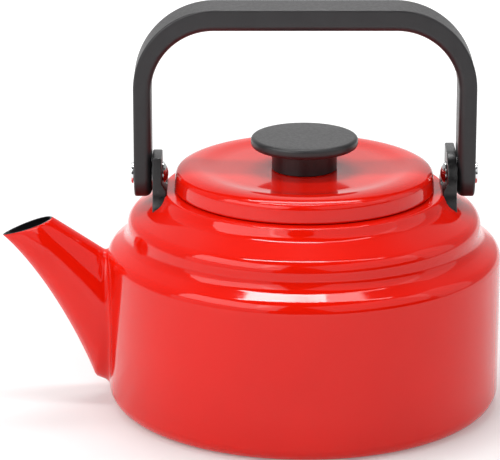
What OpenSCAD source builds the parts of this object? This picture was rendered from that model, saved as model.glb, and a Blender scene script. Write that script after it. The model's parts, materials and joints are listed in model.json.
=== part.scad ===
// Stovetop kettle: an enamelled steel body with a stepped shoulder, a short pouring spout,
// a lift-off lid with a disc knob, and a bail handle that folds down on two pivots.
// Millimetres. The origin is the centre of the base on the stove, +Z is up, the spout
// points to -X and the bail's hinge runs along X.

/* [Body] */
// Outer diameter at the top of the straight wall
body_d = 185; // [180:1:190]
// Thickness of the enamelled steel sheet
sheet_t = 1.2; // [0.9:0.1:1.2]
// Radius of the rounded bottom edge
corner_r = 7.5; // [5:0.5:9]
// Length of the straight wall above the bottom edge
wall_len = 62.9; // [60:0.1:66]
// Outward lean of the wall in degrees
wall_draft = 0.2; // [0:0.1:0.4]
// Diameter of the lid opening
mouth_d = 116.8; // [116.8:0.1:117.6]

/* [Spout] */
// Width of the spout where it meets the wall
spout_root_w = 30; // [26:1:34]
// Width of the spout's mouth
spout_mouth_w = 15; // [13:0.5:17]
// Diameter of each strainer hole in the wall behind the spout
strainer_hole_d = 6; // [4:0.5:7]

/* [Lid] */
// Diameter of the lid's lower edge
lid_d = 121.6; // [121:0.1:123]
// Thickness of the lid's sheet
lid_t = 1.1; // [0.9:0.1:1.2]
// Diameter of the skirt that drops into the mouth
skirt_d = 115.8; // [114.8:0.1:116]

/* [Knob] */
// Diameter of the knob's disc
knob_d = 50; // [44:1:54]
// Diameter of the knob's stem
knob_stem_d = 30.4; // [29.5:0.1:34]

/* [Handle] */
// Width across the outer faces of the two arms
bail_w = 158.8; // [158.8:0.1:160]
// Thickness of each arm
arm_t = 8.3; // [8:0.1:8.3]
// Width of the handle from front to back
grip_w = 22; // [20:1:22]
// Height of the top of the grip
grip_top_z = 190.6; // [189:0.1:196]
// Thickness of the grip bar
grip_t = 10.5; // [9.5:0.1:10.5]
// Radius of the handle's outer corners
bail_outer_r = 38; // [34:1:40]
// Radius of the handle's inner corners
bail_inner_r = 29; // [26:1:31]

/* [Pivots] */
// Height of the hinge axis
pivot_z = 110.2; // [110:0.1:111]
// Diameter of the pivot screw's plain shoulder
shoulder_d = 6; // [5:0.1:6]
// Diameter of the pivot screw's head
screw_head_d = 9.8; // [9:0.1:11]
// Diameter of the domed nut inside each lug
nut_d = 10.6; // [10:0.1:11]

/* [Lugs] */
// Distance from the kettle's axis to the lug's inner face
lug_x = 66.3; // [66:0.1:66.5]
// Thickness of the lug's upper part
lug_t = 4.4; // [4.2:0.1:4.4]
// Height of the lug's flat top
lug_top_z = 121; // [119:0.5:122]
// Width of the lug's upper part
lug_w = 28; // [26:1:30]

/* [Hidden] */

$fn = 96;
arc_step = 9;
eps = 0.01;
far = 300;

enamel = [0.86, 0.09, 0.05];
resin = [0.13, 0.13, 0.14];
plate = [0.80, 0.80, 0.82];
brass = [0.78, 0.62, 0.30];

// ---- Pressed sheet profiles -------------------------------------------------------------
// A profile is walked from a start point with a heading in degrees, where 0 is outwards and
// 90 is up. Its steps are ["line", length] or ["arc", radius, turn], and a positive turn is
// to the left. Every point is [r, z, heading].

function ahead(p, h, d) = [p.x + d * cos(h), p.y + d * sin(h), h];

function arc_point(p, h, r, turn) =
    let (side = turn > 0 ? 1 : -1)
    [
        p.x + side * r * (sin(h + turn) - sin(h)),
        p.y - side * r * (cos(h + turn) - cos(h)),
        h + turn
    ];

function stretch(p, h, s) =
    s[0] == "line"
        ? [ahead(p, h, s[1])]
        : let (n = max(2, ceil(abs(s[2]) / arc_step)))
          [for (i = [1 : n]) arc_point(p, h, s[1], s[2] * i / n)];

function walk(p, h, steps, i = 0) =
    i == len(steps)
        ? []
        : let (
              pts = stretch(p, h, steps[i]),
              last = pts[len(pts) - 1]
          )
          concat(pts, walk([last.x, last.y], last[2], steps, i + 1));

function trace(start, h, steps) = concat([[start.x, start.y, h]], walk(start, h, steps));

// The points of a profile, shifted by t to the left of its heading
function offset_points(path, t) =
    [for (p = path) [max(0, p.x - t * sin(p[2])), p.y + t * cos(p[2])]];

function reversed(v) = [for (i = [len(v) - 1 : -1 : 0]) v[i]];

function end_of(path) = path[len(path) - 1];

// A ring of sheet metal whose outer face is the profile
module pressed(path, t) {
    rotate_extrude()
        polygon(concat(offset_points(path, 0), reversed(offset_points(path, t))));
}

// ---- Body profile -----------------------------------------------------------------------
shoulder_tilt = 56;
crown_tilt = 60.7;
neck_tilt = 26;

base_flat_r = body_d / 2 - corner_r - wall_len * sin(wall_draft);
corner_turn = 90 - wall_draft;

base_path = trace([0, 0], 0, [
    ["line", base_flat_r],
    ["arc", corner_r, corner_turn]
]);
seam = end_of(base_path);

// The straight wall, then the rounded shoulder
wall_path = trace([seam.x, seam.y], corner_turn, [
    ["line", wall_len],
    ["arc", 7.1, shoulder_tilt + wall_draft]
]);
shoulder = end_of(wall_path);

// The second tier, the sloping crown, and the neck up to the lid's ledge
crown_path = trace([shoulder.x, shoulder.y], 90 + shoulder_tilt, [
    ["line", 4.3],
    ["arc", 6.8, -shoulder_tilt],
    ["line", 2],
    ["arc", 6.9, crown_tilt],
    ["line", 10.5],
    ["arc", 7, neck_tilt - crown_tilt],
    ["line", 1.9],
    ["arc", 1.5, 90 - neck_tilt]
]);
rim = end_of(crown_path);
ledge_z = rim.y;

mouth_edge_r = 1.6;
mouth_flange = 5;
mouth_path = trace([rim.x, rim.y], 180, [
    ["line", rim.x - mouth_d / 2 - mouth_edge_r],
    ["arc", mouth_edge_r, 90],
    ["line", mouth_flange]
]);

function without_first(v) = [for (i = [1 : len(v) - 1]) v[i]];

shell_path = concat(wall_path, without_first(crown_path), without_first(mouth_path));

// Everything inside the wall and the rounded shoulder
module wall_solid() {
    rotate_extrude()
        polygon(concat([[0, seam.y]], offset_points(wall_path, 0), [[0, shoulder.y]]));
}

// Everything inside the crown and the neck, a hair larger than the sheet
weld_gap_scale = 1.0006;
module crown_solid() {
    scale(weld_gap_scale)
        rotate_extrude()
            polygon(concat([[0, shoulder.y]], offset_points(crown_path, 0), [[0, rim.y]]));
}

// Rows of holes that hold back leaves and scale where the spout leaves the body
strainer_rows = 5;
strainer_pitch = 9.5;
strainer_bottom_z = 19;
module strainer_holes() {
    for (row = [0 : strainer_rows - 1]) {
        holes = row % 2 == 0 ? 2 : 1;
        for (k = [0 : holes - 1])
            translate([-body_d / 2 - 4, (k - (holes - 1) / 2) * strainer_pitch, 0])
                translate([0, 0, strainer_bottom_z + row * strainer_pitch])
                    rotate([0, 90, 0])
                        cylinder(d = strainer_hole_d, h = 10, $fn = 32);
    }
}

module body_shell() {
    color(enamel)
        difference() {
            pressed(shell_path, sheet_t);
            strainer_holes();
        }
}

module base_pan() {
    color(enamel)
        pressed(base_path, sheet_t);
}

// ---- Spout ------------------------------------------------------------------------------
// Rings span an upper line, straight from the mouth to the wall, and a curved lower line.
lip = [-142, 80];
mouth_back = [-118.4, 88.5];
root_top = [-90, 69.8];
lower_pull = [-127, 67];
lower_hang = [-109, 37];
root_bottom = [-99, 10];
hidden_bottom = [-90, 6.5];
spout_rings = 18;
ring_points = 36;
spout_wall = 1.2;

function bezier(a, b, c, d, t) =
    pow(1 - t, 3) * a + 3 * pow(1 - t, 2) * t * b + 3 * (1 - t) * t * t * c + pow(t, 3) * d;

function upper_line(t) = mouth_back + (root_top - mouth_back) * t;

function lower_line(t) =
    t < 1
        ? bezier(lip, lower_pull, lower_hang, root_bottom, t)
        : root_bottom + (hidden_bottom - root_bottom) * (t - 1) * spout_rings;

function half_width(t) =
    spout_mouth_w / 2 + (spout_root_w - spout_mouth_w) / 2 * pow(min(1, max(0, t)), 0.8);

// The mouth is a teardrop, pointed at the lip; further in, the rings are ovals
function point_of_lip(t) = 0.42 * pow(max(0, 1 - 4 * max(0, t)), 2);

function spout_ring(t, inset) =
    let (
        top = upper_line(min(t, 1)),
        low = lower_line(t),
        along = low - top,
        span = norm(along),
        u = along / span,
        a = top + u * inset,
        reach = span - 2 * inset,
        w = half_width(t) - inset,
        k = point_of_lip(t)
    )
    [
        for (i = [0 : ring_points - 1])
            let (
                ang = 360 * i / ring_points,
                s = (1 - cos(ang)) / 2,
                narrow = 1 - k * s * s,
                p = a + u * reach * s
            )
            [p.x, w * narrow * sin(ang), p.y]
    ];

module spout_solid(inset, first, last) {
    rings = [for (i = [first : last]) spout_ring(i / spout_rings, inset)];
    pts = [for (r = rings) each r];
    m = ring_points;
    n = len(rings);
    sides = [
        for (j = [0 : n - 2], i = [0 : m - 1])
            [j * m + i, j * m + (i + 1) % m, (j + 1) * m + (i + 1) % m, (j + 1) * m + i]
    ];
    start_cap = [[for (i = [m - 1 : -1 : 0]) i]];
    end_cap = [[for (i = [0 : m - 1]) (n - 1) * m + i]];
    polyhedron(points = pts, faces = concat(sides, start_cap, end_cap));
}

module spout() {
    color(enamel)
        difference() {
            spout_solid(0, 0, spout_rings + 1);
            spout_solid(spout_wall, -1, spout_rings + 1);
            wall_solid();
        }
}

// ---- Lugs -------------------------------------------------------------------------------
// Both sides carry the same parts, the spout side's turned half a turn about the kettle.
lug_foot_w = 42;
lug_low_z = 92;
lug_step_z = 107;
flare_z = 105;
flare_r = 12;
toe_x = 64.1;
toe_top_z = 108.7;
toe_edge_z = 105.2;
tab_t = 2;
tab_w = 18;
tab_top_z = 117;
tab_gap = 0.05;
barrel_d = 7.2;
barrel_gap = 0.05;
nut_clear = 0.9;

module on_side(spout_side) {
    rotate([0, 0, spout_side ? 180 : 0])
        children();
}

// Draws children, made about the Z axis, about the hinge axis, starting at distance x
module along_hinge(x) {
    translate([x, 0, pivot_z])
        rotate([0, 90, 0])
            children();
}

// The lug seen from its side: one top corner is square and the other is a quarter round
module lug_outline() {
    translate([-lug_w / 2, lug_low_z])
        square([lug_w, lug_step_z - lug_low_z]);
    translate([0, lug_step_z - eps])
        square([lug_w / 2, lug_top_z - lug_step_z + eps]);
    translate([0, lug_step_z])
        circle(r = lug_w / 2);
    difference() {
        translate([-lug_foot_w / 2, lug_low_z])
            square([lug_foot_w, flare_z - lug_low_z]);
        for (side = [-1, 1])
            translate([side * (lug_w / 2 + flare_r), flare_z])
                circle(r = flare_r);
    }
}

// The lug seen from the front: a thicker toe stands on the neck
module lug_section() {
    polygon([
        [lug_x + lug_t, lug_low_z],
        [lug_x + lug_t, lug_top_z],
        [lug_x, lug_top_z],
        [lug_x, toe_top_z],
        [toe_x, toe_edge_z],
        [toe_x, lug_low_z]
    ]);
}

module lug_cover() {
    slot_x = lug_x + (lug_t - tab_t) / 2 - tab_gap;
    difference() {
        intersection() {
            translate([toe_x - 1, 0, 0])
                rotate([90, 0, 90])
                    linear_extrude(10)
                        lug_outline();
            translate([0, lug_foot_w, 0])
                rotate([90, 0, 0])
                    linear_extrude(2 * lug_foot_w)
                        lug_section();
        }
        translate([slot_x, -tab_w / 2 - tab_gap, 0])
            cube([tab_t + 2 * tab_gap, tab_w + 2 * tab_gap, tab_top_z + tab_gap]);
        along_hinge(lug_x - 10)
            cylinder(d = nut_d + 2 * nut_clear, h = 10);
        along_hinge(lug_x - 1)
            cylinder(d = barrel_d + 2 * barrel_gap, h = lug_t + 2);
        crown_solid();
    }
}

module lug_tab() {
    difference() {
        translate([lug_x + (lug_t - tab_t) / 2, -tab_w / 2, lug_low_z])
            cube([tab_t, tab_w, tab_top_z - lug_low_z]);
        along_hinge(lug_x)
            cylinder(d = barrel_d + 2 * barrel_gap, h = lug_t);
        crown_solid();
    }
}

module spout_side_lug_tab() {
    color(enamel)
        on_side(true) lug_tab();
}

module far_side_lug_tab() {
    color(enamel)
        on_side(false) lug_tab();
}

module spout_side_lug_cover() {
    color(resin)
        on_side(true) lug_cover();
}

module far_side_lug_cover() {
    color(resin)
        on_side(false) lug_cover();
}

// ---- Handle -----------------------------------------------------------------------------
bush_d = 8.4;
bush_press = 0.02;
running_gap = 0.05;
arm_in_x = bail_w / 2 - arm_t;
arm_out_x = bail_w / 2;

// An arch with rounded upper corners, standing on z = 0
module arch(w, top, r) {
    translate([-w / 2, 0])
        square([w, top - r]);
    translate([-w / 2 + r, 0])
        square([w - 2 * r, top]);
    for (side = [-1, 1])
        translate([side * (w / 2 - r), top - r])
            circle(r = r);
}

// The bail seen from its side: straight, with a round end about the hinge
module bail_side() {
    translate([-grip_w / 2, pivot_z])
        square([grip_w, grip_top_z - pivot_z + 1]);
    translate([0, pivot_z])
        circle(d = grip_w);
}

module handle_grip() {
    color(resin)
        difference() {
            intersection() {
                translate([0, grip_w, 0])
                    rotate([90, 0, 0])
                        linear_extrude(2 * grip_w)
                            difference() {
                                arch(bail_w, grip_top_z, bail_outer_r);
                                arch(2 * arm_in_x, grip_top_z - grip_t, bail_inner_r);
                            }
                translate([-bail_w, 0, 0])
                    rotate([90, 0, 90])
                        linear_extrude(2 * bail_w)
                            bail_side();
            }
            along_hinge(-bail_w)
                cylinder(d = bush_d, h = 2 * bail_w);
        }
}

module arm_bush() {
    along_hinge(arm_in_x)
        difference() {
            cylinder(d = bush_d - 2 * bush_press, h = arm_t);
            translate([0, 0, -1])
                cylinder(d = shoulder_d + 2 * running_gap, h = arm_t + 2);
        }
}

module spout_side_arm_bush() {
    color(plate)
        on_side(true) arm_bush();
}

module far_side_arm_bush() {
    color(plate)
        on_side(false) arm_bush();
}

// ---- Pivot hardware ---------------------------------------------------------------------
washer_gap = 0.05;
tension_h = 0.45;
tension_t = 0.25;
tension_d = 9.4;
head_t = 1.1;
head_edge_r = 0.5;
thread_d = 4;
thread_gap = 0.05;
thread_end_x = 65.4;
shoulder_end_x = 70.6;
recess_l = 5;
recess_w = 1.1;
recess_h = 0.6;
head_x = arm_out_x + washer_gap + tension_h;

// A cross-shaped driver recess, cut downwards from z = 0
module driver_recess() {
    for (turn = [0, 90])
        rotate([0, 0, turn])
            translate([-recess_l / 2, -recess_w / 2, -recess_h])
                cube([recess_l, recess_w, recess_h + 1]);
}

module pivot_screw() {
    head_path = trace([screw_head_d / 2, 0], 90, [
        ["line", head_t - head_edge_r],
        ["arc", head_edge_r, 90]
    ]);
    difference() {
        union() {
            along_hinge(thread_end_x)
                cylinder(d = thread_d, h = head_x - thread_end_x);
            along_hinge(shoulder_end_x)
                cylinder(d = shoulder_d, h = head_x - shoulder_end_x + eps);
            along_hinge(head_x)
                rotate_extrude()
                    polygon(concat([[0, 0]], offset_points(head_path, 0), [[0, head_t]]));
        }
        along_hinge(head_x + head_t)
            driver_recess();
    }
}

module spout_side_pivot_screw() {
    color(plate)
        on_side(true) pivot_screw();
}

module far_side_pivot_screw() {
    color(plate)
        on_side(false) pivot_screw();
}

// A domed nut whose threaded barrel fills the hole through the lug
nut_h = 2.8;
barrel_end_x = 70.55;
module domed_nut() {
    rise = 2.2;
    edge = nut_h - rise;
    dome_r = (pow(nut_d / 2, 2) + rise * rise) / (2 * rise);
    difference() {
        union() {
            along_hinge(lug_x - edge)
                cylinder(d = nut_d, h = edge);
            intersection() {
                along_hinge(lug_x - edge - rise + dome_r)
                    sphere(r = dome_r);
                along_hinge(lug_x - nut_h - 1)
                    cylinder(d = nut_d, h = rise + 1 + eps);
            }
            along_hinge(lug_x - eps)
                cylinder(d = barrel_d, h = barrel_end_x - lug_x + eps);
        }
        along_hinge(thread_end_x - 0.2)
            cylinder(d = thread_d + 2 * thread_gap, h = 10);
    }
}

module spout_side_domed_nut() {
    color(plate)
        on_side(true) domed_nut();
}

module far_side_domed_nut() {
    color(plate)
        on_side(false) domed_nut();
}

// A flat washer between the lug and the arm, which drags on the arm
friction_d = 16;
module friction_washer() {
    along_hinge(lug_x + lug_t)
        difference() {
            cylinder(d = friction_d, h = arm_in_x - lug_x - lug_t - washer_gap);
            translate([0, 0, -1])
                cylinder(d = barrel_d + 2 * barrel_gap, h = 3);
        }
}

module spout_side_friction_washer() {
    color(plate)
        on_side(true) friction_washer();
}

module far_side_friction_washer() {
    color(plate)
        on_side(false) friction_washer();
}

// A coned spring washer under the screw's head
module tension_washer() {
    bore_r = shoulder_d / 2 + running_gap;
    rim_r = tension_d / 2;
    along_hinge(arm_out_x + washer_gap)
        rotate_extrude()
            polygon([
                [bore_r, tension_h - tension_t],
                [rim_r, 0],
                [rim_r, tension_t],
                [bore_r, tension_h]
            ]);
}

module spout_side_tension_washer() {
    color(plate)
        on_side(true) tension_washer();
}

module far_side_tension_washer() {
    color(plate)
        on_side(false) tension_washer();
}

// ---- Lid --------------------------------------------------------------------------------
lid_rest_gap = 0.35;
lid_side_tilt = 5.5;
rim_outer_tilt = 28;
rim_inner_tilt = 6;
slope_tilt = 8;
dish_tilt = 1.8;
dish_r = 1240;
screw_hole_d = 4.8;

// The side, the broad rounded rim, and a slope down to the slightly dished panel
lid_path = trace([lid_d / 2, ledge_z + lid_rest_gap], 90 + lid_side_tilt, [
    ["line", 6.35],
    ["arc", 3.3, 90 - lid_side_tilt - rim_outer_tilt],
    ["arc", 13.4, rim_outer_tilt - rim_inner_tilt],
    ["arc", 25, rim_inner_tilt + slope_tilt],
    ["line", 2.5],
    ["arc", 56, dish_tilt - slope_tilt],
    ["arc", dish_r, 0.01 - dish_tilt]
]);
lid_top = end_of(lid_path);

module lid_shell() {
    color(enamel)
        difference() {
            rotate_extrude()
                polygon(concat(
                    offset_points(lid_path, 0),
                    [[0, lid_top.y], [0, lid_top.y - lid_t]],
                    reversed(offset_points(lid_path, lid_t))
                ));
            translate([0, 0, lid_top.y - 5])
                cylinder(d = screw_hole_d, h = 10);
        }
}

// A ring welded under the lid: its skirt drops into the mouth and centres the lid
skirt_t = 1;
skirt_low_z = 95.8;
skirt_bend_r = 4;
skirt_flange = 9;
skirt_weld_gap = 0.05;
module lid_skirt() {
    panel_under_z = min([for (p = offset_points(lid_path, lid_t)) if (p.x > 44 && p.x < 52) p.y]);
    top_z = panel_under_z - skirt_weld_gap;
    path = trace([skirt_d / 2, skirt_low_z], 90, [
        ["line", top_z - skirt_bend_r - skirt_low_z],
        ["arc", skirt_bend_r, 90],
        ["line", skirt_flange]
    ]);
    color(enamel)
        pressed(path, skirt_t);
}

// ---- Knob -------------------------------------------------------------------------------
knob_low_z = lid_top.y + 0.16;
knob_disc_z = lid_top.y + 10.8;
knob_disc_h = 5;
knob_root_r = 1;
knob_under_r = 2;
knob_edge_r = 1.8;
gasket_d = 28;
gasket_t = 0.8;
gasket_gap = 0.14;
insert_d = 8;
insert_h = 9.6;
insert_z = lid_top.y + 1;
knob_thread_d = 4;

module knob() {
    path = trace([knob_stem_d / 2, knob_low_z], 90, [
        ["line", knob_disc_z - knob_root_r - knob_low_z],
        ["arc", knob_root_r, -90],
        ["line", (knob_d - knob_stem_d) / 2 - knob_root_r - knob_under_r],
        ["arc", knob_under_r, 90],
        ["line", knob_disc_h - knob_under_r - knob_edge_r],
        ["arc", knob_edge_r, 90]
    ]);
    color(resin)
        difference() {
            rotate_extrude()
                polygon(concat(
                    [[0, knob_low_z]],
                    offset_points(path, 0),
                    [[0, knob_disc_z + knob_disc_h]]
                ));
            translate([0, 0, knob_low_z - 1])
                cylinder(d = gasket_d + 2 * gasket_gap, h = insert_z - knob_low_z + 1);
            translate([0, 0, insert_z - eps])
                cylinder(d = insert_d + 2 * bush_press, h = insert_h + eps);
        }
}

// A threaded sleeve moulded into the stem
module knob_insert() {
    color(brass)
        translate([0, 0, insert_z])
            difference() {
                cylinder(d = insert_d, h = insert_h - 0.1);
                translate([0, 0, -1])
                    cylinder(d = knob_thread_d + 2 * thread_gap, h = insert_h + 2);
            }
}

knob_washer_d = 12;
knob_washer_t = 0.8;
knob_washer_z = lid_top.y - lid_t - 0.1 - knob_washer_t;
knob_head_d = 8;
knob_head_h = 2.4;

module knob_screw() {
    color(plate)
        difference() {
            union() {
                translate([0, 0, knob_washer_z - knob_head_h])
                    cylinder(d = knob_head_d, h = knob_head_h);
                translate([0, 0, knob_washer_z - eps])
                    cylinder(d = knob_thread_d, h = insert_z + 7 - knob_washer_z);
            }
            translate([0, 0, knob_washer_z - knob_head_h])
                rotate([180, 0, 0])
                    driver_recess();
        }
}

module knob_screw_washer() {
    color(plate)
        translate([0, 0, knob_washer_z])
            difference() {
                cylinder(d = knob_washer_d, h = knob_washer_t);
                translate([0, 0, -1])
                    cylinder(d = screw_hole_d, h = knob_washer_t + 2);
            }
}

// A heat-resisting washer between the lid and the knob's stem
module knob_gasket() {
    color([0.3, 0.3, 0.3])
        translate([0, 0, lid_top.y + gasket_gap])
            difference() {
                cylinder(d = gasket_d, h = gasket_t);
                translate([0, 0, -1])
                    cylinder(d = screw_hole_d, h = gasket_t + 2);
            }
}

body_shell();
base_pan();
spout();
spout_side_lug_tab();
far_side_lug_tab();
spout_side_lug_cover();
far_side_lug_cover();
handle_grip();
spout_side_arm_bush();
far_side_arm_bush();
spout_side_pivot_screw();
far_side_pivot_screw();
spout_side_domed_nut();
far_side_domed_nut();
spout_side_friction_washer();
far_side_friction_washer();
spout_side_tension_washer();
far_side_tension_washer();
lid_shell();
lid_skirt();
knob();
knob_insert();
knob_screw();
knob_screw_washer();
knob_gasket();
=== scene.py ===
"""A stovetop kettle in red enamel with a black resin handle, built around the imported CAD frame.

The frame gives the places and outer sizes; the finer sizes are named below, in millimetres, and
angles are in degrees. The pressed and moulded pieces are rebuilt here as smooth meshes. The rest
of the hardware stays as CAD solids with its own materials.
"""
import json
import math

import bmesh
import bpy
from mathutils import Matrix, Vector


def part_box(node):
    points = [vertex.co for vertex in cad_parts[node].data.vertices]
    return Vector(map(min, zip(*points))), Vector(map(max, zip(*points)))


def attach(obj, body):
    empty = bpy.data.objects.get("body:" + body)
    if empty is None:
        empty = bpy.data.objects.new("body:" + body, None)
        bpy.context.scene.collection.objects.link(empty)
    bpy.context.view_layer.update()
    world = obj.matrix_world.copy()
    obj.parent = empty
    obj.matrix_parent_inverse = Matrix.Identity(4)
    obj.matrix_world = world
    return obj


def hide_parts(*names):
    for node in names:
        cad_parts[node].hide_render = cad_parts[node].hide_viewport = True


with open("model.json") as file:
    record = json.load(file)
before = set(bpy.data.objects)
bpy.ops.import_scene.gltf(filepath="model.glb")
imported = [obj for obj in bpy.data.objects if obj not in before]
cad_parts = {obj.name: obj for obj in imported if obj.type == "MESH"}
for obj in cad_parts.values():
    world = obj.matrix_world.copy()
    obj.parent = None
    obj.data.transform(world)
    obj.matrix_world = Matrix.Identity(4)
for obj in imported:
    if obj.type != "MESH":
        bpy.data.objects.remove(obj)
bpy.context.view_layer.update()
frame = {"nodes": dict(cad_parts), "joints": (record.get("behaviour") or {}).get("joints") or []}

MM = 0.001
AROUND = 256
ARC_STEP = 3.0
LINE_STEP = 6
MERGE = 1e-6
ON_AXIS = 1e-6
CUT_PAST = 2
SIDES = ("spout_side", "far_side")


# ---- Meshes -------------------------------------------------------------------------------

def add_object(name, verts, faces, materials, face_materials=None):
    """A mesh object in the scene, with its points given in millimetres."""
    mesh = bpy.data.meshes.new(name)
    mesh.from_pydata([tuple(c * MM for c in v) for v in verts], [], faces)
    for material in materials:
        mesh.materials.append(material)
    if face_materials:
        mesh.polygons.foreach_set("material_index", face_materials)
    obj = bpy.data.objects.new(name, mesh)
    bpy.context.scene.collection.objects.link(obj)
    return obj


def clean(obj, sharp_deg=35):
    """Merges doubled points, turns the normals outwards and shades smooth up to sharp_deg."""
    bm = bmesh.new()
    bm.from_mesh(obj.data)
    bmesh.ops.remove_doubles(bm, verts=bm.verts, dist=MERGE)
    bmesh.ops.dissolve_degenerate(bm, edges=bm.edges, dist=MERGE / 10)
    bmesh.ops.recalc_face_normals(bm, faces=bm.faces)
    bm.to_mesh(obj.data)
    bm.free()
    obj.data.shade_smooth()
    obj.data.set_sharp_from_angle(angle=math.radians(sharp_deg))
    return obj


def apply_modifiers(obj):
    """Leaves the evaluated mesh on the object and takes its modifiers off."""
    evaluated = obj.evaluated_get(bpy.context.evaluated_depsgraph_get())
    mesh = bpy.data.meshes.new_from_object(evaluated)
    obj.modifiers.clear()
    obj.data = mesh


def cut_out(obj, cutter):
    """Cuts another object out of this one, and removes the cutter."""
    modifier = obj.modifiers.new("cut", "BOOLEAN")
    modifier.operation = "DIFFERENCE"
    modifier.solver = "EXACT"
    modifier.object = cutter
    bpy.context.view_layer.update()
    apply_modifiers(obj)
    bpy.data.objects.remove(cutter)


def walk(start, heading, steps, arc_step=ARC_STEP):
    """Points (r, z, heading) along lines and tangent arcs; 0 is outwards and 90 is up.

    Steps are ("line", length) or ("arc", radius, turn), where a positive turn is to the left.
    """
    r, z = start
    points = [(r, z, heading)]
    for step in steps:
        if step[0] == "line":
            count = max(1, math.ceil(step[1] / LINE_STEP))
            for _ in range(count):
                r += step[1] / count * math.cos(math.radians(heading))
                z += step[1] / count * math.sin(math.radians(heading))
                points.append((r, z, heading))
            continue
        _, radius, turn = step
        side = math.copysign(1, turn)
        count = max(3, math.ceil(abs(turn) / arc_step))
        first, r0, z0 = heading, r, z
        for k in range(1, count + 1):
            heading = first + turn * k / count
            a, b = math.radians(first), math.radians(heading)
            r = r0 + side * radius * (math.sin(b) - math.sin(a))
            z = z0 - side * radius * (math.cos(b) - math.cos(a))
            points.append((r, z, heading))
    return points


def shifted(path, distance):
    """The path moved to the left of its heading."""
    return [
        (r - distance * math.sin(math.radians(h)), z + distance * math.cos(math.radians(h)), h)
        for r, z, h in path
    ]


def sheet_outline(path, thickness, round_start=True, round_end=True):
    """The closed outline of a sheet whose outer face is path, and how many points are outer."""
    outer = [(r, z) for r, z, _ in path]
    inner = [(r, z) for r, z, _ in shifted(path, thickness)][::-1]
    half = thickness / 2

    def rounded(point, turn):
        """A half circle round the sheet's edge, from a turn off its heading, without its ends."""
        r, z, heading = point
        middle_r = r - half * math.sin(math.radians(heading))
        middle_z = z + half * math.cos(math.radians(heading))
        angles = [math.radians(heading + turn + k * 30) for k in range(1, 6)]
        return [(middle_r + half * math.cos(a), middle_z + half * math.sin(a)) for a in angles]

    end = rounded(path[-1], -90) if round_end else []
    start = rounded(path[0], 90) if round_start else []
    return outer + end + inner + start, len(outer) + len(end) // 2


def revolve(name, outline, materials, outer_count=None, around=AROUND):
    """Turns a closed outline of (r, z) about the kettle's axis.

    The first outer_count stretches get the first material and the rest get the second.
    """
    count = len(outline)
    verts = []
    for k in range(around):
        a = 2 * math.pi * k / around
        verts += [(r * math.cos(a), r * math.sin(a), z) for r, z in outline]
    faces, zones = [], []
    for k in range(around):
        here, after = k * count, (k + 1) % around * count
        for i in range(count):
            j = (i + 1) % count
            if outline[i][0] < ON_AXIS and outline[j][0] < ON_AXIS:
                continue
            faces.append((here + i, here + j, after + j, after + i))
            zones.append(0 if outer_count is None or i < outer_count else 1)
    return clean(add_object(name, verts, faces, materials, zones))


def along_x(u, v, w):
    """For an outline drawn as (y, z) and pushed along x."""
    return (w, u, v)


def along_y(u, v, w):
    """For an outline drawn as (x, z) and pushed along y."""
    return (u, w, v)


def prism(name, outline, low, high, place, materials):
    """Pushes a flat outline from low to high; place(u, v, w) gives the point in space."""
    count = len(outline)
    verts = [place(u, v, low) for u, v in outline] + [place(u, v, high) for u, v in outline]
    faces = [tuple(range(count)), tuple(range(2 * count - 1, count - 1, -1))]
    faces += [(i, i + count, (i + 1) % count + count, (i + 1) % count) for i in range(count)]
    return clean(add_object(name, verts, faces, materials))


def arc(centre, radius, first, last, step=5.0):
    """Points on a circle from one angle to another."""
    count = max(2, math.ceil(abs(last - first) / step))
    return [
        (
            centre[0] + radius * math.cos(math.radians(first + (last - first) * k / count)),
            centre[1] + radius * math.sin(math.radians(first + (last - first) * k / count)),
        )
        for k in range(count + 1)
    ]


def place_piece(obj, body, node):
    """Puts a piece on its body, in place of a CAD node."""
    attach(obj, body)
    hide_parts(node)


# ---- Materials ----------------------------------------------------------------------------

NOISE_LOW = 0.3
NOISE_HIGH = 0.7


class Nodes:
    """A material's node tree, with short calls for the nodes used here."""

    def __init__(self, name):
        self.material = bpy.data.materials.new(name)
        self.material.use_nodes = True
        self.tree = self.material.node_tree
        self.shader = self.tree.nodes["Principled BSDF"]
        self.coords = self.tree.nodes.new("ShaderNodeTexCoord").outputs["Object"]

    def feed(self, node, inputs):
        """Links or sets a node's inputs; a _ in a name stands for a space."""
        for key, value in inputs.items():
            socket = node.inputs[key.replace("_", " ")]
            if hasattr(value, "is_output"):
                self.tree.links.new(value, socket)
            else:
                socket.default_value = value

    def add(self, kind, **inputs):
        node = self.tree.nodes.new(kind)
        self.feed(node, inputs)
        return node

    def set(self, **inputs):
        """Links or sets inputs of the material's shader."""
        self.feed(self.shader, inputs)

    def noise(self, scale, detail=2.0):
        """Noise from 0 to 1, fixed to the piece; a larger scale is finer."""
        node = self.add("ShaderNodeTexNoise", Vector=self.coords, Scale=scale, Detail=detail)
        return node.outputs["Fac"]

    def span(self, value, low, high, start=NOISE_LOW, end=NOISE_HIGH):
        """Maps a value between start and end to a number between low and high."""
        node = self.add(
            "ShaderNodeMapRange",
            Value=value, From_Min=start, From_Max=end, To_Min=low, To_Max=high,
        )
        return node.outputs["Result"]

    def blend(self, value, low, high):
        """A colour between two, by a noise value."""
        node = self.add("ShaderNodeValToRGB", Fac=value)
        stops = ((NOISE_LOW, low), (NOISE_HIGH, high))
        for element, (place, colour) in zip(node.color_ramp.elements, stops):
            element.position = place
            element.color = (*colour, 1)
        return node.outputs["Color"]

    def bump(self, *layers):
        """Bumps, each (height, distance in metres), one on top of the other."""
        normal = None
        for height, distance in layers:
            node = self.add("ShaderNodeBump", Distance=distance, Height=height)
            if normal is not None:
                self.feed(node, {"Normal": normal})
            normal = node.outputs["Normal"]
        self.set(Normal=normal)


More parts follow.
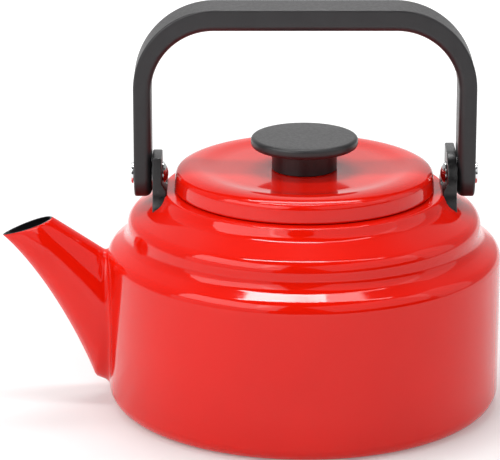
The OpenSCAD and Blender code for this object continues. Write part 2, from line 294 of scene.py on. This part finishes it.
def enamel(name, low, high, roughness=0.05):
    """Glossy vitreous enamel: a faint ripple in the glaze, and slow changes of its depth."""
    n = Nodes(name)
    n.set(
        Base_Color=n.blend(n.noise(18), low, high),
        Roughness=n.span(n.noise(60, 3), roughness, roughness + 0.03),
        IOR=1.4,
    )
    n.bump((n.noise(45, 1), 0.00004), (n.noise(420, 2), 0.000002))
    return n.material


def resin(name, low, high, roughness):
    """Matte moulded resin with a fine grain."""
    n = Nodes(name)
    n.set(
        Base_Color=n.blend(n.noise(90, 4), low, high),
        Roughness=n.span(n.noise(700, 3), roughness - 0.04, roughness + 0.06),
        IOR=1.5,
    )
    n.bump((n.noise(2600, 3), 0.00003), (n.noise(120, 2), 0.00005))
    return n.material


def metal(name, colour, roughness):
    """Bare metal with a faint fine grain."""
    n = Nodes(name)
    darker = tuple(c * 0.92 for c in colour)
    n.set(
        Base_Color=n.blend(n.noise(400), darker, colour),
        Metallic=1.0,
        Roughness=n.span(n.noise(1200, 3), roughness * 0.8, roughness * 1.3),
    )
    n.bump((n.noise(2400, 2), 0.000004))
    return n.material


red_enamel = enamel("red_enamel", (0.66, 0.0066, 0.0013), (0.71, 0.0078, 0.0017))
black_enamel = enamel("black_enamel", (0.012, 0.012, 0.014), (0.020, 0.020, 0.023), 0.08)
handle_resin = resin("handle_resin", (0.010, 0.0088, 0.0102), (0.014, 0.0125, 0.0142), 0.40)
knob_resin = resin("knob_resin", (0.013, 0.0123, 0.0134), (0.018, 0.0169, 0.0184), 0.36)
lug_resin = resin("lug_resin", (0.003, 0.0026, 0.0030), (0.005, 0.0044, 0.0050), 0.30)
bright_steel = metal("bright_steel", (0.80, 0.80, 0.81), 0.14)
washer_steel = metal("washer_steel", (0.56, 0.56, 0.57), 0.32)
brass = metal("brass", (0.78, 0.58, 0.28), 0.25)
gasket_rubber = resin("gasket_rubber", (0.05, 0.05, 0.05), (0.07, 0.07, 0.07), 0.7)


# ---- Body ---------------------------------------------------------------------------------

SHEET = 1.2
CORNER_R = 7.5
WALL_LEN = 62.9
WALL_DRAFT = 0.2
SHOULDER_R = 7.1
SHOULDER_TILT = 56
SHOULDER_SLOPE = 4.3
TIER_FOOT_R = 6.8
TIER_WALL = 2.0
TIER_R = 6.9
CROWN_TILT = 60.7
CROWN_SLOPE = 10.5
NECK_FOOT_R = 7.0
NECK_TILT = 26
NECK_WALL = 1.9
LEDGE_EDGE_R = 1.5
MOUTH_R = 58.4
MOUTH_EDGE_R = 1.6
MOUTH_FLANGE = 5.0
SEAM_BAND = 0.03

STRAINER_ROWS = 5
STRAINER_LOW_Z = 19
STRAINER_PITCH = 9.5
STRAINER_HOLE_R = 3.0
STRAINER_CUT_X = (-97, -86)

_, body_high = (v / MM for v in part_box("body_shell"))
BODY_R = body_high.y
LEDGE_Z = body_high.z

base_path = walk((0, 0), 0, [
    ("line", BODY_R - CORNER_R - WALL_LEN * math.sin(math.radians(WALL_DRAFT))),
    ("arc", CORNER_R, 90 - WALL_DRAFT),
])
wall_path = walk(base_path[-1][:2], 90 - WALL_DRAFT, [
    ("line", WALL_LEN),
    ("arc", SHOULDER_R, SHOULDER_TILT + WALL_DRAFT),
])
crown_path = walk(wall_path[-1][:2], 90 + SHOULDER_TILT, [
    ("line", SHOULDER_SLOPE),
    ("arc", TIER_FOOT_R, -SHOULDER_TILT),
    ("line", TIER_WALL),
    ("arc", TIER_R, CROWN_TILT),
    ("line", CROWN_SLOPE),
    ("arc", NECK_FOOT_R, NECK_TILT - CROWN_TILT),
    ("line", NECK_WALL),
    ("arc", LEDGE_EDGE_R, 90 - NECK_TILT),
])
mouth_path = walk(crown_path[-1][:2], 180, [
    ("line", crown_path[-1][0] - MOUTH_R - MOUTH_EDGE_R),
    ("arc", MOUTH_EDGE_R, 90),
    ("line", MOUTH_FLANGE),
])
shell_path = wall_path + crown_path[1:] + mouth_path[1:]


def moved_along(point, distance):
    """A point of a path, moved along its heading."""
    r, z, h = point
    a = math.radians(h)
    return (r + distance * math.cos(a), z + distance * math.sin(a), h)


# A narrow band on each side of the seam keeps the shading even right up to it
shell_path.insert(1, moved_along(shell_path[0], SEAM_BAND))


def wall_radius(z):
    """The outer radius of the wall and shoulder at a height."""
    starts = base_path[:-1] + shell_path[:-1]
    ends = base_path[1:] + shell_path[1:]
    for (r0, z0, _), (r1, z1, _) in zip(starts, ends):
        if z0 <= z <= z1 and z1 > z0:
            return r0 + (r1 - r0) * (z - z0) / (z1 - z0)
    return wall_path[-1][0]


def cut_strainer(shell):
    """Rows of two holes and one hole by turns, through the wall behind the spout."""
    for row in range(STRAINER_ROWS):
        holes = 2 if row % 2 == 0 else 1
        for k in range(holes):
            y, z = (k - (holes - 1) / 2) * STRAINER_PITCH, STRAINER_LOW_Z + row * STRAINER_PITCH
            ring = [(y + u, z + v) for u, v in arc((0, 0), STRAINER_HOLE_R, 0, 345, 15)]
            cut_out(shell, prism("hole", ring, *STRAINER_CUT_X, along_x, [black_enamel]))


def build_body():
    outline, outer = sheet_outline(shell_path, SHEET, round_start=False)
    shell = revolve("kettle_body", outline, [red_enamel, black_enamel], outer)
    cut_strainer(shell)
    clean(shell)
    place_piece(shell, "kettle", "body_shell")


def build_base():
    base = base_path[:-1] + [moved_along(base_path[-1], -SEAM_BAND), base_path[-1]]
    outline, outer = sheet_outline(base, SHEET, round_start=False, round_end=False)
    pan = revolve("kettle_base", outline, [red_enamel, black_enamel], outer - 1)
    place_piece(pan, "kettle", "base_pan")


# ---- Spout --------------------------------------------------------------------------------

LIP = Vector((-142, 80))
MOUTH_BACK = Vector((-118.4, 88.5))
ROOT_TOP = Vector((-90, 69.8))
LOWER_PULL = Vector((-127, 67))
LOWER_HANG = Vector((-109, 37))
ROOT_BOTTOM = Vector((-99, 10))
LOWER_RUN_ON = Vector((9, -3.5))
RUN_ON_RATE = 18
SPOUT_WALL = 1.2
ROOT_HALF = 15.0
MOUTH_HALF = 7.5
WIDTH_POWER = 0.8
TIP_PINCH = 0.42
PINCH_FADE = 4
ROOT_MIDDLE = Vector((-92.5, 0, 42))
ROOT_SUNK = 0.5
WELD_START = 3.2
WELD_REACH = 2.8
WELD_EDGE = 3.3
WELD_RAISED = 0.03
WELD_TUCKED = 0.04
ROOT_SEARCH = (0.5, 1.05)
LIP_HEADING_T = 0.02

SPOUT_AROUND = 96
SPOUT_ALONG = 60
SPOUT_INSIDE = 40
LIP_STEPS = 8
BLACK_LIP_STEPS = 6
WELD_STEPS = 8


def lower_line(t):
    """The spout's underside, as (x, z), from the lip (0) to the root (1) and on past it."""
    if t > 1:
        return ROOT_BOTTOM + LOWER_RUN_ON * (t - 1) * RUN_ON_RATE
    s = 1 - t
    near_lip = s ** 3 * LIP + 3 * s * s * t * LOWER_PULL
    return near_lip + 3 * s * t * t * LOWER_HANG + t ** 3 * ROOT_BOTTOM


def spout_point(t, angle, inset=0.0):
    """A point on the spout: t runs from the mouth to the root, angle from the top round."""
    top = MOUTH_BACK + (ROOT_TOP - MOUTH_BACK) * t
    low = lower_line(t)
    along = (low - top).normalized()
    span = (low - top).length - 2 * inset
    s = (1 - math.cos(angle)) / 2
    widening = max(0.0, min(1.0, t)) ** WIDTH_POWER
    half = MOUTH_HALF + (ROOT_HALF - MOUTH_HALF) * widening - inset
    pinch = TIP_PINCH * max(0.0, 1 - PINCH_FADE * max(0.0, t)) ** 2
    p = top + along * (inset + span * s)
    return Vector((p.x, half * (1 - pinch * s * s) * math.sin(angle), p.y))


def on_wall(point, gap):
    """The point moved square to the axis until it is gap outside the wall."""
    radius = wall_radius(point.z) + gap
    scale = radius / math.hypot(point.x, point.y)
    return Vector((point.x * scale, point.y * scale, point.z))


def root_t(angle, inset=0.0, gap=0.0):
    """Where the spout's line at this angle meets the wall."""
    low, high = ROOT_SEARCH
    for _ in range(40):
        middle = (low + high) / 2
        p = spout_point(middle, angle, inset)
        if math.hypot(p.x, p.y) > wall_radius(p.z) + gap:
            low = middle
        else:
            high = middle
    return (low + high) / 2


def spout_inside(angle):
    """Points on the inner face, from inside the wall back to the mouth."""
    t_in = root_t(angle, SPOUT_WALL, -ROOT_SUNK)
    steps = range(SPOUT_INSIDE)
    return [spout_point(t_in * (1 - i / SPOUT_INSIDE), angle, SPOUT_WALL) for i in steps]


def spout_lip(angle):
    """Points in a half circle over the mouth's edge, from the inner face to the outer."""
    inner, outer = spout_point(0, angle, SPOUT_WALL), spout_point(0, angle)
    inward = (inner - outer) / 2
    forward = (outer - spout_point(LIP_HEADING_T, angle)).normalized() * inward.length
    turns = [math.pi * i / LIP_STEPS for i in range(LIP_STEPS + 1)]
    return [outer + inward + inward * math.cos(b) + forward * (math.sin(b) - 1) for b in turns]


def spout_weld(angle, around):
    """Points over the weld fillet and down into the wall; around runs along the joint."""
    start = spout_point(root_t(angle, 0, WELD_START), angle)
    corner = spout_point(root_t(angle), angle)
    normal = Vector((corner.x, corner.y, 0)).normalized()
    away = around.cross(normal).normalized()
    if away.dot(corner - ROOT_MIDDLE) < 0:
        away = -away
    finish = on_wall(corner + away * WELD_REACH, WELD_RAISED)
    points = []
    for i in range(1, WELD_STEPS + 1):
        u = i / WELD_STEPS
        points.append((1 - u) ** 2 * start + 2 * u * (1 - u) * corner + u * u * finish)
    edge = corner + away * WELD_EDGE
    return points + [on_wall(edge, -WELD_TUCKED), on_wall(edge, -ROOT_SUNK)]


def build_spout():
    angles = [2 * math.pi * k / SPOUT_AROUND for k in range(SPOUT_AROUND)]
    meet = [spout_point(root_t(a), a) for a in angles]
    columns = []
    for k, a in enumerate(angles):
        t_weld = root_t(a, 0, WELD_START)
        outside = [spout_point(t_weld * (i / SPOUT_ALONG), a) for i in range(2, SPOUT_ALONG + 1)]
        around = meet[(k + 1) % SPOUT_AROUND] - meet[k - 1]
        columns.append(spout_inside(a) + spout_lip(a) + outside + spout_weld(a, around))
    count = len(columns[0])
    verts = [tuple(p) for line in columns for p in line]
    faces, zones = [], []
    for k in range(SPOUT_AROUND):
        here, after = k * count, (k + 1) % SPOUT_AROUND * count
        for i in range(count):
            j = (i + 1) % count
            faces.append((here + i, here + j, after + j, after + i))
            black = i < SPOUT_INSIDE + BLACK_LIP_STEPS or i == count - 1
            zones.append(1 if black else 0)
    spout = add_object("spout_shell", verts, faces, [red_enamel, black_enamel], zones)
    clean(spout, sharp_deg=60)
    place_piece(spout, "kettle", "spout")


# ---- Lid ----------------------------------------------------------------------------------

LID_SHEET = 1.1
LID_EDGE_R = 1.0
LID_SIDE = 6.35
LID_SIDE_TILT = 5.5
RIM_CORNER_R = 3.3
RIM_OUTER_TILT = 28
RIM_R = 13.4
RIM_INNER_TILT = 6
SLOPE_EDGE_R = 25
SLOPE_TILT = 8
SLOPE = 2.5
TROUGH_R = 56
DISH_R = 1240
DISH_TILT = 1.8
CENTRE_TILT = 0.01
LID_HOLE_R = 2.4
LID_ARC_STEP = 0.5

SKIRT_SHEET = 1.0
SKIRT_BEND_R = 4
SKIRT_FLANGE = 9

KNOB_AROUND = 160
KNOB_ARC_STEP = 7.5
KNOB_DISC_T = 5
KNOB_STEM_R = 15.2
KNOB_NECK_R = 1
KNOB_UNDER_R = 2
KNOB_EDGE = 1.2
KNOB_TOP_R = 1.8
KNOB_FOOT_EDGE = 0.4
KNOB_HOLLOW = 1.1
KNOB_HOLLOW_R = 14.1

lid_low, lid_high = (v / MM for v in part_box("lid_shell"))


def build_lid():
    path = walk((lid_high.y - LID_EDGE_R, lid_low.z), 0, [
        ("arc", LID_EDGE_R, 90 + LID_SIDE_TILT),
        ("line", LID_SIDE - LID_EDGE_R),
        ("arc", RIM_CORNER_R, 90 - LID_SIDE_TILT - RIM_OUTER_TILT),
        ("arc", RIM_R, RIM_OUTER_TILT - RIM_INNER_TILT),
        ("arc", SLOPE_EDGE_R, RIM_INNER_TILT + SLOPE_TILT),
        ("line", SLOPE),
        ("arc", TROUGH_R, DISH_TILT - SLOPE_TILT),
        ("arc", DISH_R, CENTRE_TILT - DISH_TILT),
    ], arc_step=LID_ARC_STEP)
    path = [p for p in path if p[0] > LID_HOLE_R]
    outline, outer = sheet_outline(path, LID_SHEET, round_start=False)
    lid = revolve("lid_top", outline, [red_enamel, black_enamel], outer)
    place_piece(lid, "lid", "lid_shell")


def build_skirt():
    low, high = (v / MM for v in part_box("lid_skirt"))
    skirt = walk((high.y, low.z), 90, [
        ("line", high.z - SKIRT_BEND_R - low.z),
        ("arc", SKIRT_BEND_R, 90),
        ("line", SKIRT_FLANGE),
    ])
    outline, _ = sheet_outline(skirt, SKIRT_SHEET)
    ring = revolve("lid_skirt_ring", outline, [black_enamel])
    place_piece(ring, "lid", "lid_skirt")


def build_knob():
    low, high = (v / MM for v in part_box("knob"))
    path = walk((KNOB_STEM_R, low.z), 90, [
        ("line", high.z - KNOB_DISC_T - KNOB_NECK_R - low.z),
        ("arc", KNOB_NECK_R, -90),
        ("line", high.y - KNOB_STEM_R - (KNOB_NECK_R + KNOB_UNDER_R)),
        ("arc", KNOB_UNDER_R, 90),
        ("line", KNOB_EDGE),
        ("arc", KNOB_TOP_R, 90),
    ], arc_step=KNOB_ARC_STEP)
    outline = [(r, z) for r, z, _ in path]
    outline[0] = (KNOB_STEM_R, low.z + KNOB_FOOT_EDGE)
    top = [(outline[-1][0] * k / 8, high.z) for k in range(7, -1, -1)]
    hollow_z = low.z + KNOB_HOLLOW
    under = [(0, hollow_z), (KNOB_HOLLOW_R, hollow_z),
             (KNOB_HOLLOW_R, low.z), (KNOB_STEM_R - KNOB_FOOT_EDGE, low.z)]
    knob = revolve("lid_knob", outline + top + under, [knob_resin], around=KNOB_AROUND)
    place_piece(knob, "lid", "knob")


# ---- Handle -------------------------------------------------------------------------------

_, bail_high = (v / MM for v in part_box("handle_grip"))
ARM_T = 8.3
GRIP_T = 10.5
BAIL_OUTER_R = 38.0
BAIL_INNER_R = 29.0
BAIL_BEVEL = 3.4
OUTER_BEVEL_SHARE = 0.30
INNER_BEVEL_SHARE = 1.0
BAIL_BORE_R = 4.2
BORE_HALF = 90
ARM_STEPS = 6
BAR_STEPS = 8
PIVOT = Vector(frame["joints"][0]["pos_m"]) / MM


def arch_line(half, top, radius):
    """Points (x, z) from the left arm over the grip to the right arm, level with the pivots."""
    left = arc((-half + radius, top - radius), radius, 180, 90, 2.5)
    right = arc((half - radius, top - radius), radius, 90, 0, 2.5)
    arms = [PIVOT.z + (top - radius - PIVOT.z) * k / ARM_STEPS for k in range(ARM_STEPS)]
    width = 2 * half - 2 * radius
    bar = [(-half + radius + width * k / BAR_STEPS, top) for k in range(1, BAR_STEPS)]
    return [(-half, z) for z in arms] + left + bar + right + [(half, z) for z in arms[::-1]]


def bail_mesh():
    """The bail as a plain four-sided bar with round eyes, its edges weighted for the bevel."""
    half, top, wide = bail_high.x, bail_high.z, bail_high.y
    outer = arch_line(half, top, BAIL_OUTER_R)
    inner = arch_line(half - ARM_T, top - GRIP_T, BAIL_INNER_R)
    bm = bmesh.new()
    out_front, out_back, in_front, in_back = [
        [bm.verts.new((x * MM, y * MM, z * MM)) for x, z in line]
        for line in (outer, inner)
        for y in (-wide, wide)
    ]
    outer_edges, inner_edges = [], []
    last = len(outer) - 1
    for i in range(last):
        j = i + 1
        bm.faces.new((out_front[i], out_front[j], out_back[j], out_back[i]))
        bm.faces.new((in_front[i], in_back[i], in_back[j], in_front[j]))
        bm.faces.new((out_front[i], in_front[i], in_front[j], out_front[j]))
        bm.faces.new((out_back[i], out_back[j], in_back[j], in_back[i]))
        outer_edges += [(out_front[i], out_front[j]), (out_back[i], out_back[j])]
        inner_edges += [(in_front[i], in_front[j]), (in_back[i], in_back[j])]

    def eye(front, back):
        """A row of points round an arm's end, from its front edge to its back edge."""
        x = front.co.x
        points = arc((0, PIVOT.z), wide, 180, 360, 6)[1:-1]
        return [front] + [bm.verts.new((x, y * MM, z * MM)) for y, z in points] + [back]

    for end in (0, last):
        outside = eye(out_front[end], out_back[end])
        inside = eye(in_front[end], in_back[end])
        bm.faces.new(outside)
        bm.faces.new(inside)
        for a, b, c, d in zip(outside, outside[1:], inside[1:], inside):
            bm.faces.new((a, b, c, d))
            outer_edges.append((a, b))
            inner_edges.append((d, c))
    weight = bm.edges.layers.float.new("bevel_weight_edge")
    for pairs, share in ((outer_edges, OUTER_BEVEL_SHARE), (inner_edges, INNER_BEVEL_SHARE)):
        for a, b in pairs:
            bm.edges.get((a, b))[weight] = share
    bmesh.ops.recalc_face_normals(bm, faces=bm.faces)
    mesh = bpy.data.meshes.new("bail_handle")
    bm.to_mesh(mesh)
    bm.free()
    return mesh


def build_handle():
    mesh = bail_mesh()
    mesh.materials.append(handle_resin)
    bail = bpy.data.objects.new("bail_handle", mesh)
    bpy.context.scene.collection.objects.link(bail)
    bevel = bail.modifiers.new("edges", "BEVEL")
    bevel.limit_method = "WEIGHT"
    bevel.width = BAIL_BEVEL * MM
    bevel.segments = 6
    bevel.use_clamp_overlap = False
    apply_modifiers(bail)
    ring = arc((0, PIVOT.z), BAIL_BORE_R, 0, 352.5, 7.5)
    cut_out(bail, prism("hole", ring, -BORE_HALF, BORE_HALF, along_x, [handle_resin]))
    bail.data.shade_smooth()
    bail.data.set_sharp_from_angle(angle=math.radians(40))
    weighted = bail.modifiers.new("normals", "WEIGHTED_NORMAL")
    weighted.keep_sharp = True
    apply_modifiers(bail)
    place_piece(bail, "handle", "handle_grip")


# ---- Lugs and pivots ----------------------------------------------------------------------

lug_low, lug_high = (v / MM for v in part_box("far_side_lug_cover"))
LUG_HALF = 14.0
LUG_STEP_Z = 107.0
FLARE_R = 12.0
FLARE_Z = 105.0
LUG_FOOT_HALF = 21.0
LUG_BOTTOM_Z = 92.0
TOE_TOP_Z = 108.7
TOE_EDGE_Z = 105.2
LUG_T = 4.4
LUG_ROUND = 0.9
LUG_RECESS_R = 6.2
LUG_BORE_R = 3.65
NOTCH_PAST = 5
NOTCH_HALF = 40
CUTTER_GROWTH = 1.0003

PIVOT_AROUND = 64
HEAD_T = 1.1
HEAD_EDGE_R = 0.5
HEAD_CROWN_R = 14.0
HEAD_LAP = 0.01
SHANK_R = 3.0
SHOULDER_END_X = 70.6
THREAD_R = 2.0
THREAD_CHAMFER = 0.3
SLOT_REACH = 2.6
SLOT_HALF = 0.6
SLOT_DEPTH = 0.6
NUT_RISE = 2.2
NUT_BLIND = 1.0
NUT_THREAD_R = 2.05
NUT_BARREL_R = 3.6
NUT_EDGE = 0.2


def crown_solid():
    """Everything inside the crown and neck, to cut the lugs' feet to the body."""
    outline = [(0, crown_path[0][1])] + [(r, z) for r, z, _ in crown_path] + [(0, LEDGE_Z)]
    outline = [(r * CUTTER_GROWTH, z * CUTTER_GROWTH) for r, z in outline]
    return revolve("crown_cutter", outline, [lug_resin])


def lug_side_outline():
    """The far side's lug seen along the hinge, as (y, z)."""
    foot_drop = math.degrees(math.acos((FLARE_R + LUG_HALF - LUG_FOOT_HALF) / FLARE_R))
    right = arc((LUG_HALF + FLARE_R, FLARE_Z), FLARE_R, 180 + foot_drop, 180)
    left = [(-y, z) for y, z in right[::-1]]
    dome = arc((0, LUG_STEP_Z), LUG_HALF, 90, 180)
    return (
        [(-LUG_FOOT_HALF, LUG_BOTTOM_Z), (LUG_FOOT_HALF, LUG_BOTTOM_Z)]
        + right
        + [(LUG_HALF, lug_high.z)]
        + dome
        + left
    )


def turn_to(obj, side):
    """Turns a far side's part half a turn about the kettle when it is for the spout side."""
    if side == "spout_side":
        for v in obj.data.vertices:
            v.co.x, v.co.y = -v.co.x, -v.co.y


def round_lug(lug):
    """Rounds the lug's edges, before its holes are cut."""
    bevel = lug.modifiers.new("edges", "BEVEL")
    bevel.limit_method = "ANGLE"
    bevel.angle_limit = math.radians(40)
    bevel.width = LUG_ROUND * MM
    bevel.segments = 4
    bevel.use_clamp_overlap = True
    apply_modifiers(lug)


def build_lug(side):
    low_x, high_x, inner_x = lug_low.x, lug_high.x, lug_high.x - LUG_T
    lug = prism(f"{side}_lug", lug_side_outline(), low_x, high_x, along_x, [lug_resin])
    notch = [(low_x - NOTCH_PAST, TOE_EDGE_Z), (low_x, TOE_EDGE_Z), (inner_x, TOE_TOP_Z),
             (inner_x, lug_high.z + NOTCH_PAST), (low_x - NOTCH_PAST, lug_high.z + NOTCH_PAST)]
    cut_out(lug, prism("notch", notch, -NOTCH_HALF, NOTCH_HALF, along_y, [lug_resin]))
    round_lug(lug)
    recess = arc((0, PIVOT.z), LUG_RECESS_R, 0, 352.5, 7.5)
    cut_out(lug, prism("recess", recess, low_x - CUT_PAST, inner_x, along_x, [lug_resin]))
    bore = arc((0, PIVOT.z), LUG_BORE_R, 0, 352.5, 7.5)
    cut_out(lug, prism("bore", bore, low_x - CUT_PAST, high_x + CUT_PAST, along_x, [lug_resin]))
    cut_out(lug, crown_solid())
    clean(lug, sharp_deg=30)
    turn_to(lug, side)
    place_piece(clean(lug, sharp_deg=30), "kettle", f"{side}_lug_cover")


def lathe_on_hinge(name, outline, material, x0, direction):
    """Turns an outline of (r, x) about the hinge axis, from x0 towards +x (1) or -x (-1)."""
    obj = revolve(name, outline, [material], around=PIVOT_AROUND)
    for v in obj.data.vertices:
        x, y, z = v.co
        v.co = (x0 * MM + direction * z, y, PIVOT.z * MM + x)
    return clean(obj)


def cross_recess(x):
    """Two crossed slots, the cutter for a driver recess in the screw's head at x."""
    arm, wide = SLOT_REACH, SLOT_HALF
    plus = [(arm, -wide), (arm, wide), (wide, wide), (wide, arm),
            (-wide, arm), (-wide, wide), (-arm, wide), (-arm, -wide),
            (-wide, -wide), (-wide, -arm), (wide, -arm), (wide, -wide)]
    outline = [(y, PIVOT.z + z) for y, z in plus]
    return prism("recess", outline, x - SLOT_DEPTH, x + CUT_PAST, along_x, [bright_steel])


def build_screw(side):
    low, high = (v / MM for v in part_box("far_side_pivot_screw"))
    head_x, head_r = high.x - HEAD_T, (high.z - low.z) / 2
    end, step = low.x - head_x, SHOULDER_END_X - head_x
    edge = arc((head_r - HEAD_EDGE_R, HEAD_T - HEAD_EDGE_R), HEAD_EDGE_R, 0, 70, 10)
    crown = arc((0, HEAD_T - HEAD_CROWN_R), HEAD_CROWN_R, 74, 90, 2)
    outline = [(0, end), (THREAD_R - THREAD_CHAMFER, end), (THREAD_R, end + THREAD_CHAMFER),
               (THREAD_R, step), (SHANK_R, step), (SHANK_R, -HEAD_LAP), (head_r, -HEAD_LAP)]
    outline += edge + [p for p in crown if p[0] < head_r - 1]
    outline[-1] = (0, HEAD_T)
    screw = lathe_on_hinge(f"{side}_screw", outline, bright_steel, head_x, 1)
    cut_out(screw, cross_recess(high.x))
    clean(screw, sharp_deg=30)
    turn_to(screw, side)
    place_piece(clean(screw, sharp_deg=30), "kettle", f"{side}_pivot_screw")


def build_nut(side):
    low, high = (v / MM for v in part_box("far_side_domed_nut"))
    inner_x = lug_high.x - LUG_T
    nut_r, nut_h = (high.z - low.z) / 2, inner_x - low.x
    dome_r = (nut_r ** 2 + NUT_RISE ** 2) / (2 * NUT_RISE)
    reach = math.degrees(math.asin(nut_r / dome_r))
    dome = arc((0, nut_h - dome_r), dome_r, 90 - reach, 90, 4)
    barrel = inner_x - high.x
    outline = [(0, -NUT_BLIND), (NUT_THREAD_R, -NUT_BLIND), (NUT_THREAD_R, barrel),
               (NUT_BARREL_R, barrel), (NUT_BARREL_R, 0), (nut_r - NUT_EDGE, 0), (nut_r, NUT_EDGE)]
    outline += dome
    outline[-1] = (0, nut_h)
    nut = lathe_on_hinge(f"{side}_nut", outline, bright_steel, inner_x, -1)
    turn_to(nut, side)
    place_piece(clean(nut), "kettle", f"{side}_domed_nut")


# ---- CAD pieces that stay -----------------------------------------------------------------

def finish_cad_pieces():
    """Gives each CAD solid that stays its own material."""
    kept = {
        "lug_tab": red_enamel,
        "friction_washer": washer_steel,
        "tension_washer": washer_steel,
        "arm_bush": washer_steel,
    }
    choices = {f"{side}_{part}": material for side in SIDES for part, material in kept.items()}
    choices.update({
        "knob_insert": brass,
        "knob_screw": bright_steel,
        "knob_screw_washer": washer_steel,
        "knob_gasket": gasket_rubber,
    })
    for node, material in choices.items():
        obj = frame["nodes"][node]
        obj.data.materials.clear()
        obj.data.materials.append(material)


# ---- Studio -------------------------------------------------------------------------------

CAMERA_AT = (-0.0254, -1.3896, 0.5154)
CAMERA_DOWN = 17.32
LENS = 222.7
SENSOR = 36.0


def build_camera():
    data = bpy.data.cameras.new("camera")
    data.lens = LENS
    data.sensor_width = SENSOR
    data.sensor_fit = "HORIZONTAL"
    data.clip_end = 50
    camera = bpy.data.objects.new("camera", data)
    bpy.context.scene.collection.objects.link(camera)
    camera.location = CAMERA_AT
    camera.rotation_euler = (math.radians(90 - CAMERA_DOWN), 0, 0)
    bpy.context.scene.camera = camera


# The room's grey levels, by turn (0 and 1 behind, 0.5 in front) and by height (0.5 level, 1 up)
ROOM_TURN = (
    (0.00, 1.20), (0.12, 0.70), (0.24, 0.50), (0.29, 0.30), (0.34, 0.02),
    (0.70, 0.02), (0.74, 0.45), (0.87, 0.55), (1.00, 1.20),
)
ROOM_HEIGHT = ((0.50, 1.0), (0.88, 0.9), (0.94, 0.45), (1.00, 0.40))

# The studio's lengths are in metres. Each softbox has a name, a distance, its turn from the front
# and its height in degrees, its two sizes and its radiance
SOFTBOXES = (
    ("overhead", 1.2, -90, 83, (0.11, 0.60), 26),
    ("overhead_back", 1.3, 180, 62, (0.80, 0.30), 9),
    ("overhead_right", 1.3, 90, 72, (0.11, 0.50), 7),
    ("left_key", 1.1, -54, 38, (0.92, 0.64), 3.4),
    ("left_inner", 1.1, -22, 36, (0.24, 0.72), 2.4),
    ("left_low", 1.15, -50, 10, (1.30, 0.40), 0.9),
    ("right_high", 1.15, 45, 36, (1.35, 0.95), 1.0),
    ("right_side", 1.3, 94, 26, (0.70, 1.10), 0.65),
)
LIGHTS_AIM = Vector((0, 0, 0.1))
FLOOR_HALF_MM = 6000
FLOOR_GREY = (0.62, 0.64)
FLOOR_GLOW = (0.20, 0.75)
FLOOR_GLOW_REACH = (0.12, 0.9)


def softbox(name, distance, turn, height_deg, size, radiance):
    """An area light facing the kettle; turn is from the front, to the right, in degrees."""
    a, b = math.radians(turn), math.radians(height_deg)
    aim = Vector((math.sin(a) * math.cos(b), -math.cos(a) * math.cos(b), math.sin(b)))
    data = bpy.data.lights.new(name, "AREA")
    data.shape = "RECTANGLE"
    data.size, data.size_y = size
    data.energy = radiance * math.pi * size[0] * size[1]
    light = bpy.data.objects.new(name, data)
    bpy.context.scene.collection.objects.link(light)
    light.location = LIGHTS_AIM + aim * distance
    light.rotation_euler = aim.to_track_quat("Z", "Y").to_euler()


def build_world():
    """A pale room, brightest behind the kettle and dark on the camera's side."""
    world = bpy.data.worlds.new("studio")
    bpy.context.scene.world = world
    world.use_nodes = True
    tree = world.node_tree
    tree.nodes.clear()
    out = tree.nodes.new("ShaderNodeOutputWorld")
    background = tree.nodes.new("ShaderNodeBackground")
    tree.links.new(background.outputs["Background"], out.inputs["Surface"])
    coords = tree.nodes.new("ShaderNodeTexCoord")
    split = tree.nodes.new("ShaderNodeSeparateXYZ")
    tree.links.new(coords.outputs["Generated"], split.inputs[0])

    def ramp(value, stops):
        node = tree.nodes.new("ShaderNodeValToRGB")
        tree.links.new(value, node.inputs["Fac"])
        while len(node.color_ramp.elements) < len(stops):
            node.color_ramp.elements.new(0.5)
        for element, (place, grey) in zip(node.color_ramp.elements, stops):
            element.position = place
            element.color = (grey, grey, grey, 1)
        return node.outputs["Color"]

    def math_node(operation, a, b):
        node = tree.nodes.new("ShaderNodeMath")
        node.operation = operation
        for socket, value in zip(node.inputs, (a, b)):
            if hasattr(value, "is_output"):
                tree.links.new(value, socket)
            else:
                socket.default_value = value
        return node.outputs[0]

    turn = math_node("ARCTAN2", split.outputs["X"], math_node("MULTIPLY", split.outputs["Y"], -1))
    turn01 = math_node("ADD", math_node("DIVIDE", turn, 2 * math.pi), 0.5)
    around = ramp(turn01, ROOM_TURN)
    height01 = math_node("ADD", math_node("MULTIPLY", split.outputs["Z"], 0.5), 0.5)
    upward = ramp(height01, ROOM_HEIGHT)
    strength = math_node("MULTIPLY", around, upward)
    tree.links.new(strength, background.inputs["Strength"])


def floor_paper():
    """Pale paper with a fine tooth, which glows more the further it is from the kettle."""
    n = Nodes("floor_paper")
    distance = n.tree.nodes.new("ShaderNodeVectorMath")
    distance.operation = "LENGTH"
    n.tree.links.new(n.coords, distance.inputs[0])
    start, end = FLOOR_GLOW_REACH
    dark, light = ((grey, grey, grey) for grey in FLOOR_GREY)
    n.set(
        Base_Color=n.blend(n.noise(3), dark, light),
        Roughness=0.9,
        Emission_Color=(1, 1, 1, 1),
        Emission_Strength=n.span(distance.outputs["Value"], *FLOOR_GLOW, start=start, end=end),
    )
    n.bump((n.noise(900, 3), 0.00002))
    return n.material


def build_floor():
    half = FLOOR_HALF_MM
    corners = [(-half, -half, 0), (half, -half, 0), (half, half, 0), (-half, half, 0)]
    add_object("floor", corners, [(0, 1, 2, 3)], [floor_paper()])


def build_studio():
    scene = bpy.context.scene
    scene.view_settings.view_transform = "Standard"
    scene.view_settings.look = "None"
    build_world()
    for box in SOFTBOXES:
        softbox(*box)
    build_floor()


build_camera()
build_studio()
build_body()
build_base()
build_spout()
build_lid()
build_skirt()
build_knob()
build_handle()
for side in SIDES:
    build_lug(side)
    build_screw(side)
    build_nut(side)
finish_cad_pieces()
